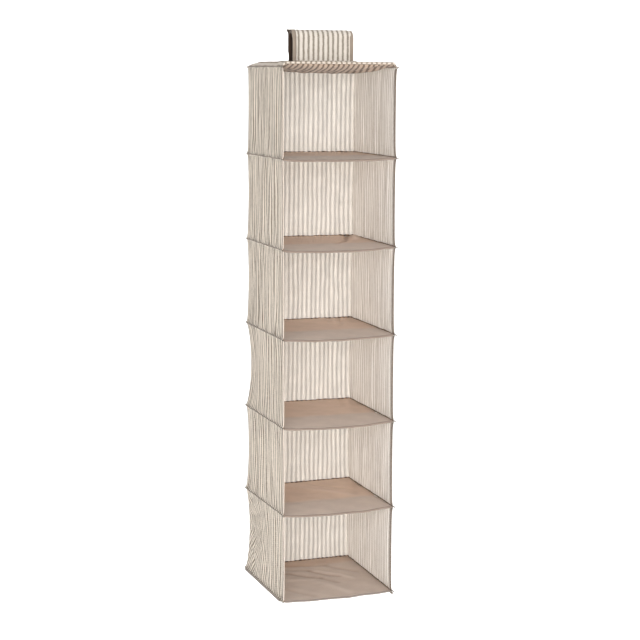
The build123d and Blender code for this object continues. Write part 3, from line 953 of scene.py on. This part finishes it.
def top_lining():
    """Cloth under the top: sewn to the hem in front and to the seam elsewhere, slack between."""
    x_line = np.linspace(-MID_W + CLOTH, MID_W - CLOTH, 110)
    depth = np.linspace(0, 1, 80) ** 1.3
    y_line = FRONT + 3.0 * MM + (MID_D - CLOTH - FRONT - 3.0 * MM) * depth
    y, x = np.meshgrid(y_line, x_line, indexing="ij")
    t = (y - y_line[0]) / (y_line[-1] - y_line[0])
    side = np.clip((HALF_W - np.abs(x)) / (13 * MM), 0, 1)
    lift = (HEM_BOTTOM - SEAM_Z[0]) * np.clip(1 - t * 2.2, 0, 1) * side ** 0.7
    belly = np.sin(math.pi * t ** 0.56) * (1 - (np.abs(x) / HALF_W) ** 3.2)
    z = SEAM_Z[0] - CLOTH / 2 + lift - 15.5 * MM * belly
    held = np.clip(belly * 2.5, 0, 1)
    z += 1.1 * MM * soft_noise(x + 0.5 * y, y, 9, 70 * MM, 160 * MM) * held
    z -= 3.2 * MM * crease(x, y, (60 * MM, FRONT + 110 * MM), (140 * MM, FRONT + 15 * MM), 12 * MM)
    z += 3.0 * MM * crease(x, y, (40 * MM, FRONT + 90 * MM), (120 * MM, FRONT + 8 * MM), 10 * MM)
    z -= 2.4 * MM * crease(x, y, (-140 * MM, FRONT + 100 * MM), (-120 * MM, FRONT + 20 * MM), 12 * MM)
    along = np.concatenate([[0], np.cumsum(np.diff(y_line))])
    uv = np.dstack([x + 0.25 * STRIPE_PITCH, np.broadcast_to(along[:, None], x.shape)])
    piece = cloth_sheet("top_lining_cloth", hung(np.dstack([x, y, z]), 0), uv, CLOTH, SHADED_LINING, SHADED_LINING)
    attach(piece, "top")
    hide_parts("top_lining")


# ---------------------------------------------------------------- strap round the rod
STRAP_STEP = 1.6 * MM
FOOT_BEND = 4 * MM
FOOT_Z = TOP_Z + STRAP_THICK / 2
STRAP_EDGE = 0.35 * MM            # how far the edge tape stands proud of the cloth
STRAP_SPIKE = np.array([-6.0, 3.0, 5.0]) * MM


def arc(centre, radius, start, end):
    """Points on an arc in the YZ plane; 0 degrees is towards +Y and 90 is up."""
    count = max(4, int(math.radians(abs(end - start)) * radius / STRAP_STEP))
    angles = np.radians(np.linspace(start, end, count + 1))
    return np.column_stack([centre[0] + radius * np.cos(angles), centre[1] + radius * np.sin(angles)])


def straight(start, end):
    count = max(2, int(math.dist(start, end) / STRAP_STEP))
    return np.linspace(start, end, count + 1)[1:-1]


def joined(*runs):
    """One line of points from several, with its normals to the left of the way it runs."""
    line = np.concatenate(runs)
    way = np.gradient(line, axis=0)
    way /= np.linalg.norm(way, axis=1, keepdims=True)
    length = run_lengths(line)
    return line, np.column_stack([-way[:, 1], way[:, 0]]), length


def outer_path():
    """From the foot in front, up, over the rod and down behind it to the flap's free end."""
    r = FLAP_R - STRAP_THICK / 2
    bend = -r - FOOT_BEND
    return joined([(-FRONT_FOOT_Y, FOOT_Z)], straight((-FRONT_FOOT_Y, FOOT_Z), (bend, FOOT_Z)),
                  arc((bend, FOOT_Z + FOOT_BEND), FOOT_BEND, -90, 0),
                  straight((-r, FOOT_Z + FOOT_BEND), (-r, 0)), arc((0, 0), r, 180, 0),
                  straight((r, 0), (r, FLAP_END_Z)), [(r, FLAP_END_Z)])


def inner_path():
    """From the foot behind, up, and over the rod to the tongue's free end in front."""
    r = TONGUE_R - STRAP_THICK / 2
    bend = r + FOOT_BEND
    return joined([(FOOT_Y, FOOT_Z)], straight((FOOT_Y, FOOT_Z), (bend, FOOT_Z)),
                  arc((bend, FOOT_Z + FOOT_BEND), FOOT_BEND, -90, -180),
                  straight((r, FOOT_Z + FOOT_BEND), (r, 0)), arc((0, 0), r, 0, 180))


def strap_bow(x, line, length, room):
    """The strap isn't quite flat: gentle waves, and its right shoulder droops over the rod."""
    over_rod = np.clip(line[:, 1] / (10 * MM), 0, 1)[:, None]
    waves = 0.35 * MM * soft_noise(x[None, :], length[:, None], 5, 60 * MM, 70 * MM)
    droop = -room * np.clip((x[None, :] - 64 * MM) / (18 * MM), 0, 1) ** 2 * over_rod
    foot = np.clip((line[:, 1] - FOOT_Z) / (12 * MM), 0, 1)[:, None]
    return waves * foot + droop


def strap_length(name, path, faces, room, side_out):
    """One length of strap with its edge tapes; side_out is 1 where the normals point away from the rod."""
    line, normal, length = path
    half_band = STRAP_HALF - STRAP_TAPE
    x = np.linspace(-STRAP_HALF + 0.9 * MM, STRAP_HALF - 0.9 * MM, 90)
    bow = strap_bow(x, line, length, room) * side_out
    points = np.empty((len(line), len(x), 3))
    points[..., 0] = x
    points[..., 1] = line[:, :1] + normal[:, :1] * bow
    points[..., 2] = line[:, 1:] + normal[:, 1:] * bow
    # the cloth ends just inside its edge tapes
    points[0] += (points[1] - points[0]) * 0.35
    points[-1] += (points[-2] - points[-1]) * 0.35
    uv = np.dstack([np.broadcast_to(x, bow.shape), np.broadcast_to(length[:, None], bow.shape)])
    band = cloth_sheet(f"{name}_cloth", points, uv, STRAP_THICK, *faces)
    tape_points, tape_faces, tape_uv, tape_kinds, rows = [], [], [], [], []
    lip = STRAP_THICK / 2 + STRAP_EDGE
    round_end = [(STRAP_TAPE - lip + lip * math.cos(a), lip * math.sin(a))
                 for a in np.linspace(-math.pi / 2, math.pi / 2, 9)]
    section = np.array([(0, -lip)] + round_end + [(0, lip), (-0.3 * MM, 0)])
    for side in (-1, 1):
        # the left tape's corner stands up behind the rod
        lift = STRAP_SPIKE * (side < 0) * (side_out > 0)
        lifted = np.exp(-((line[:, 0] - 12 * MM) ** 2 + (line[:, 1] - 15 * MM) ** 2) / (5 * MM) ** 2)
        edge_bow = strap_bow(np.array([side * (half_band + STRAP_TAPE / 2)]), line, length, room)
        centres = np.column_stack([np.full(len(line), side * half_band), line + normal * edge_bow * side_out])
        outward = np.tile((side, 0.0, 0.0), (len(line), 1))
        upward = np.column_stack([np.zeros(len(line)), normal])
        made, faces_made, uv_made = tube(centres, outward, upward, section, length)
        reach = np.tile(np.clip(section[:, 0] / STRAP_TAPE, 0, 1) ** 3, len(line))
        made += (np.repeat(lifted, len(section)) * reach)[:, None] * lift
        rows.append((centres + outward * 1.6 * MM + upward * side_out * lip, upward * side_out))
        first = sum(len(p) for p in tape_points)
        tape_faces += [tuple(first + i for i in f) for f in faces_made]
        # the lip that faces the rod is painted dark brown: painted shade inside the strap's loop
        toward_rod = (np.arange(len(section)) < 5) == (side_out > 0)
        kinds = [int(toward_rod[i % len(section)]) for i in range(len(faces_made) - 2)] + [0, 0]
        tape_kinds += kinds
        tape_points.append(made)
        tape_uv.append(uv_made)
    edging = add_object(f"{name}_edge_tape", np.concatenate(tape_points), tape_faces,
                        np.concatenate(tape_uv), (TAPE, STRAP_INNER_SHADE), tape_kinds)
    for piece, slot in ((band, "striped_cloth"), (edging, "binding_tape")):
        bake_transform(piece)
    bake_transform(stitching(f"{name}_stitching", rows))
    return band, edging, length[-1]


def foot_stitching(name, y_near, y_far):
    """A sewn rectangle that holds one of the strap's feet down on the cover."""
    x_far = STRAP_HALF - STRAP_TAPE - 4 * MM
    z = FOOT_Z + STRAP_THICK / 2
    corners = [(-x_far, y_near), (x_far, y_near), (x_far, y_far), (-x_far, y_far), (-x_far, y_near)]
    rows = []
    for start, end in zip(corners, corners[1:]):
        path = np.column_stack([np.linspace(start, end, 60), np.full(60, z)])
        rows.append((path, np.tile((0.0, 0.0, 1.0), (60, 1))))
    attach(stitching(name, rows), "top")


def strap():
    band, edging, length = strap_length(
        "outer_strap", outer_path(),
        (STRAP_CLOTH, STRAP_INNER_SHADE), 2.4 * MM, 1)
    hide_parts("strap_front_leg", "strap_flap")
    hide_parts("strap_front_leg_binding", "strap_flap_binding")
    band, edging, length = strap_length(
        "inner_strap", inner_path(),
        (STRAP_INNER_SHADE, STRAP_CLOTH), 0, -1)
    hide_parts("strap_rear_leg", "strap_tongue")
    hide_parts("strap_rear_leg_binding", "strap_tongue_binding")
    foot_stitching("strap_front_foot_stitching", -FRONT_FOOT_Y + 2.5 * MM, -FLAP_R - FOOT_BEND - 1.5 * MM)
    foot_stitching("strap_rear_foot_stitching", FOOT_Y - 2.5 * MM, TONGUE_R + FOOT_BEND + 1.5 * MM)


def finish_node(node, material):
    """A better material on a CAD piece that stays as it is."""
    mesh = bpy.data.objects[node].data
    mesh.materials.clear()
    mesh.materials.append(material)


top_cloth()
top_board()
top_lining()
strap()
finish_node("hook_tape", HOOKS)
finish_node("loop_tape", LOOPS)

# ---------------------------------------------------------------- floor
def backdrop():
    """A pale floor far below, curving up behind the organizer."""
    floor_z, back_y, radius, side = -2.9, 5.0, 2.0, 9.0
    profile = [(-9.0, floor_z), (back_y, floor_z)]
    profile += [(back_y + radius * math.sin(a), floor_z + radius * (1 - math.cos(a)))
                for a in np.linspace(0, math.pi / 2, 12)[1:]]
    profile.append((back_y + radius, 6.0))
    points = np.array([(x, y, z) for y, z in profile for x in (-side, side)])
    mesh = bpy.data.meshes.new("backdrop")
    mesh.from_pydata(points.tolist(), [], grid_faces(len(profile), 2))
    sheet = bpy.data.objects.new("backdrop", mesh)
    material = bpy.data.materials.new("paper")
    material.use_nodes = True
    shader = material.node_tree.nodes["Principled BSDF"]
    shader.inputs["Base Color"].default_value = (0.95, 0.95, 0.95, 1)
    shader.inputs["Roughness"].default_value = 1.0
    shader.inputs["Emission Color"].default_value = (1.0, 1.0, 1.0, 1)
    shader.inputs["Emission Strength"].default_value = 0.3
    mesh.materials.append(material)
    bpy.context.scene.collection.objects.link(sheet)


backdrop()
